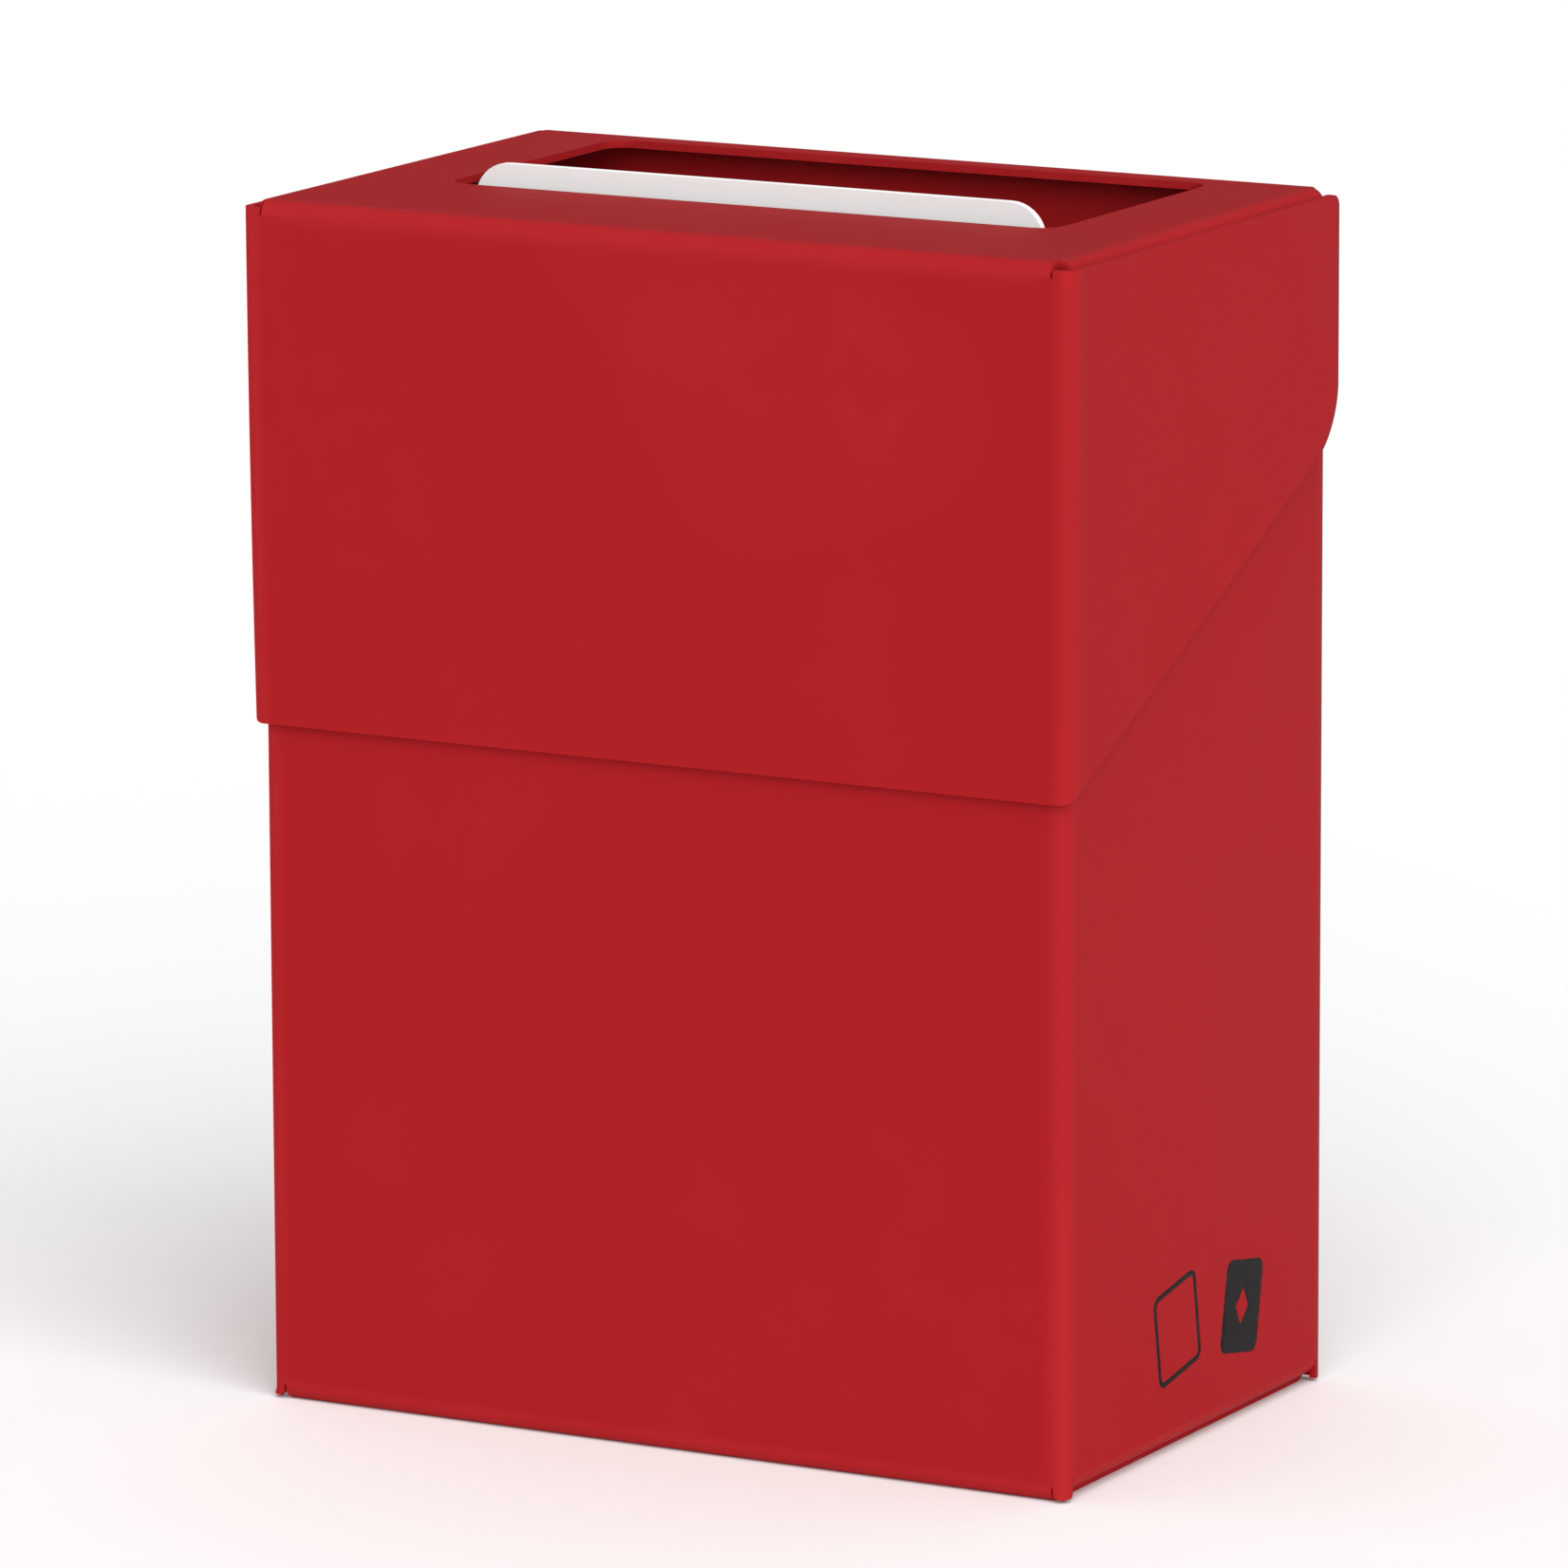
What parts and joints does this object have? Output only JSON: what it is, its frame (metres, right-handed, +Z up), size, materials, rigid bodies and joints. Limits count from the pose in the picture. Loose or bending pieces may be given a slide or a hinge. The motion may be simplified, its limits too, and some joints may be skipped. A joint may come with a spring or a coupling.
{
  "type": "card deck box",
  "caption": "Upright case for a deck of collectible cards, folded from plastic sheet, with a flip lid on a living hinge, a window in the lid's top and a loose divider card.",
  "frame": {"origin": "middle of the underside, midway between the lid's front face and the back wall", "axes": "+Z up, +X to the right as the front is faced, -Y towards the front, where the lid's skirt hangs"},
  "size_m": [0.0728, 0.0452, 0.0974],
  "materials": {
    "red_sheet": "satin, with a very fine matt texture",
    "white_sheet": "satin, slightly frosted",
    "mark_ink": "printed ink, satin"
  },
  "bodies": {
    "body": {"body_front_panel": "red_sheet", "body_right_panel": "red_sheet", "body_back_panel": "red_sheet", "body_left_panel": "red_sheet", "body_seam_flap": "red_sheet", "bottom_panel": "red_sheet", "bottom_tuck_tab": "red_sheet", "bottom_dust_flap_right": "red_sheet", "bottom_dust_flap_left": "red_sheet", "living_hinge": "red_sheet"},
    "lid": {"lid_back_strip": "red_sheet", "lid_top_panel": "red_sheet", "lid_front_panel": "red_sheet", "lid_right_ear": "red_sheet", "lid_left_ear": "red_sheet", "lid_right_flange": "red_sheet", "lid_left_flange": "red_sheet"},
    "divider": {"divider_card": "white_sheet"}
  },
  "joints": [
    {"name": "lid_hinge", "type": "hinge", "parent": "body", "child": "lid", "pos_m": [0, 0.0228, 0.077], "axis": [-1, 0, 0], "range_deg": [0, 180]},
    {"name": "divider_slide", "type": "slide", "parent": "body", "child": "divider", "axis": [0, 1, 0], "range_m": [0, 0.0205]}
  ]
}
